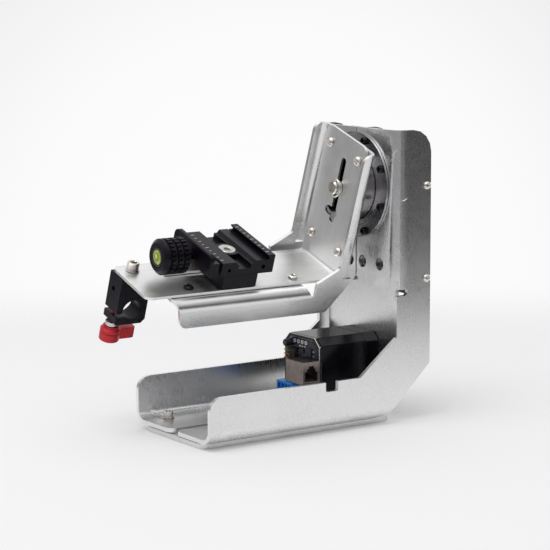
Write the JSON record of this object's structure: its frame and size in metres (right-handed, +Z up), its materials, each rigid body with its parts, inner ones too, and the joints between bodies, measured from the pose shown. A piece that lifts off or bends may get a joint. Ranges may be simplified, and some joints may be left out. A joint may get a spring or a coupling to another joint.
{
  "type": "camera tilt head",
  "caption": "Motorised camera tilt head: bent sheet column on a tray, belt drive inside, and an L-shaped cradle with a quick-release clamp, rod clamp and slotted upright.",
  "frame": {"origin": "middle of the base plate's flat underside", "axes": "+Z up, +X along the tray from its free end to the column (the tilt axis is parallel to X), Y across the tray"},
  "size_m": [0.212, 0.1096, 0.2109],
  "materials": {
    "brushed_aluminium": "brushed",
    "turned_aluminium": "turned",
    "black_anodised": "black anodised, fine satin",
    "black_steel": "black oxide",
    "bright_steel": "bright nickel",
    "red_anodised": "red anodised",
    "circuit_board": "dark solder mask",
    "jack_shell": "plated sheet",
    "gold_pins": "gold plated",
    "blue_plastic": "moulded",
    "black_plastic": "moulded",
    "belt_rubber": "matt",
    "level_green": "clear vial with green fluid"
  },
  "bodies": {
    "frame": {"base_plate": "brushed_aluminium", "near_side_sheet": "brushed_aluminium", "far_side_sheet": "brushed_aluminium", "rear_cover": "brushed_aluminium", "drive_plate": "brushed_aluminium", "cover_screw_1": "bright_steel", "cover_screw_2": "bright_steel", "cover_screw_3": "bright_steel", "cover_screw_4": "bright_steel", "floor_bolt_1": "bright_steel", "floor_bolt_2": "bright_steel", "floor_bolt_3": "bright_steel", "floor_bolt_4": "bright_steel", "motor_stator": "black_anodised", "motor_front_cap": "black_anodised", "motor_rear_cap": "black_anodised", "driver_board": "circuit_board", "network_jack": "jack_shell", "pin_header": "gold_pins", "terminal_block": "blue_plastic", "board_capacitor": "black_plastic", "timing_belt": "belt_rubber", "bearing_ring": "turned_aluminium", "ring_screw_1": "black_steel", "ring_screw_2": "black_steel", "ring_screw_3": "black_steel", "ring_screw_4": "black_steel", "ring_screw_5": "black_steel", "ring_screw_6": "black_steel", "ring_screw_7": "black_steel", "ring_screw_8": "black_steel"},
    "rotor": {"motor_shaft": "bright_steel", "drive_pulley": "turned_aluminium"},
    "cradle": {"tilt_hub": "turned_aluminium", "driven_pulley": "turned_aluminium", "cradle_plate": "brushed_aluminium", "near_cradle_sheet": "brushed_aluminium", "far_cradle_sheet": "brushed_aluminium", "plate_screw_1": "bright_steel", "plate_screw_2": "bright_steel", "plate_screw_3": "bright_steel", "plate_screw_4": "bright_steel", "platform_screw_1": "bright_steel", "platform_screw_2": "bright_steel", "platform_screw_3": "bright_steel", "platform_screw_4": "bright_steel", "clamp_riser": "black_anodised", "clamp_body": "black_anodised", "clamp_center_screw": "bright_steel", "rod_clamp_block": "black_anodised", "rod_clamp_bolt": "bright_steel", "thumb_washer": "bright_steel"},
    "jaw": {"clamp_jaw": "black_anodised"},
    "knob": {"clamp_knob": "black_anodised", "clamp_spindle": "black_anodised", "bubble_level": "level_green"},
    "thumb": {"thumb_screw": "red_anodised"},
    "slot_washer": {"camera_screw_washer": "bright_steel"},
    "slot_screw": {"camera_screw": "bright_steel"},
    "d_ring": {"camera_screw_d_ring": "bright_steel"}
  },
  "joints": [
    {"name": "tilt", "type": "hinge", "parent": "frame", "child": "cradle", "pos_m": [0.0641, 0, 0.16594], "axis": [1, 0, 0], "continuous": true},
    {"name": "rotor_spin", "type": "hinge", "parent": "frame", "child": "rotor", "pos_m": [0.0815, 0, 0.04], "axis": [1, 0, 0], "continuous": true},
    {"name": "jaw_slide", "type": "slide", "parent": "cradle", "child": "jaw", "axis": [-1, 0, 0], "range_m": [-0.0017, 0.0052]},
    {"name": "knob_turn", "type": "hinge", "parent": "jaw", "child": "knob", "pos_m": [-0.071, 0.01463, 0.12444], "axis": [-1, 0, 0], "range_deg": [-495, 1505]},
    {"name": "thumb_turn", "type": "hinge", "parent": "cradle", "child": "thumb", "pos_m": [-0.0985, 0.05161, 0.06856], "axis": [0, 0.3325, -0.9431], "range_deg": [0, 360]},
    {"name": "slot_slide", "type": "slide", "parent": "cradle", "child": "slot_washer", "axis": [0, -0.3325, 0.9431], "range_m": [-0.024, 0.0193]},
    {"name": "camera_screw_turn", "type": "hinge", "parent": "slot_washer", "child": "slot_screw", "pos_m": [0.056, -0.00138, 0.16503], "axis": [-1, 0, 0], "continuous": true},
    {"name": "d_ring_flip", "type": "hinge", "parent": "slot_screw", "child": "d_ring", "pos_m": [0.0558, -0.00138, 0.16503], "axis": [0, 0.3325, -0.9431], "range_deg": [-8, 188]}
  ],
  "couplings": [
    {"joint": "rotor_spin", "follows": "tilt", "ratio": 5},
    {"joint": "knob_turn", "follows": "jaw_slide", "rad_per_m": 5026.5}
  ]
}
